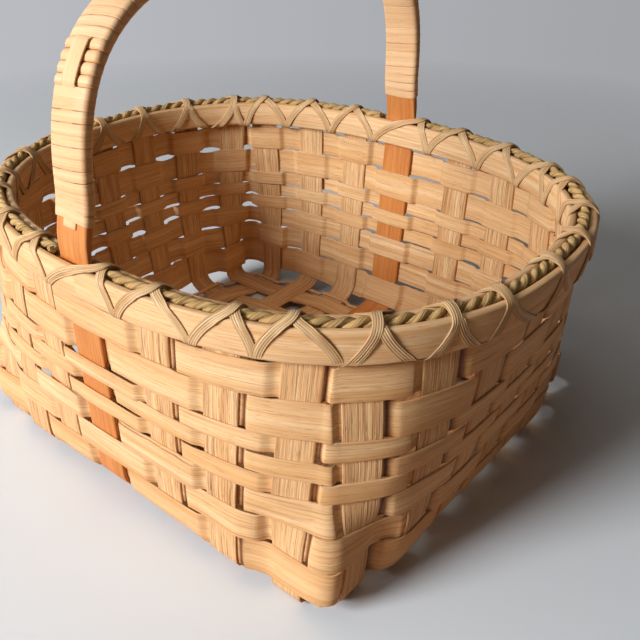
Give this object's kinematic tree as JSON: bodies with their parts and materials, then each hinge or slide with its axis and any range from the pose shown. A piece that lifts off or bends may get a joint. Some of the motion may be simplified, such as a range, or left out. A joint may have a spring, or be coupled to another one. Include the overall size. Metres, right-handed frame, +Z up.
{
  "type": "splint basket",
  "caption": "Rectangular woven splint basket with a fixed wrapped bentwood handle, a lashed double-hoop rim and an open weave base.",
  "frame": {"origin": "on the surface that the basket stands on, under the middle of its base", "axes": "+Z up, X along the long way of the rim, Y from one handle leg to the other"},
  "size_m": [0.2976, 0.2568, 0.2381],
  "materials": {
    "bentwood": "satin",
    "stake_splint": "dry with open grain",
    "weaver_splint": "dry with open grain",
    "rim_splint": "dry with open grain",
    "filler_grass": "twisted grass, matt",
    "lacing_cane": "grooved cane, soft sheen",
    "wrap_cane": "smooth cane, soft sheen"
  },
  "bodies": {
    "root": {"handle_hoop": "bentwood", "stake_beside_handle_1": "stake_splint", "stake_beside_handle_2": "stake_splint", "stake_beside_handle_3": "stake_splint", "stake_beside_handle_4": "stake_splint", "stake_beside_handle_5": "stake_splint", "stake_beside_handle_6": "stake_splint", "stake_across_1": "stake_splint", "stake_across_2": "stake_splint", "stake_across_3": "stake_splint", "stake_across_4": "stake_splint", "stake_across_5": "stake_splint", "stake_across_6": "stake_splint", "stake_across_7": "stake_splint", "weaver_behind_rim": "weaver_splint", "weaver_row_1": "weaver_splint", "weaver_row_2": "weaver_splint", "weaver_row_3": "weaver_splint", "weaver_row_4": "weaver_splint", "weaver_row_5": "weaver_splint", "weaver_row_6": "weaver_splint", "weaver_row_7": "weaver_splint", "weaver_row_8": "weaver_splint", "weaver_base_lock": "weaver_splint", "rim_outer_hoop": "rim_splint", "rim_inner_hoop": "rim_splint", "rim_filler_right": "filler_grass", "rim_filler_left": "filler_grass", "lace_rising_back": "lacing_cane", "lace_rising_front": "lacing_cane", "lace_falling_back": "lacing_cane", "lace_falling_front": "lacing_cane", "handle_wrap": "wrap_cane", "handle_runner": "wrap_cane"}
  },
  "joints": []
}
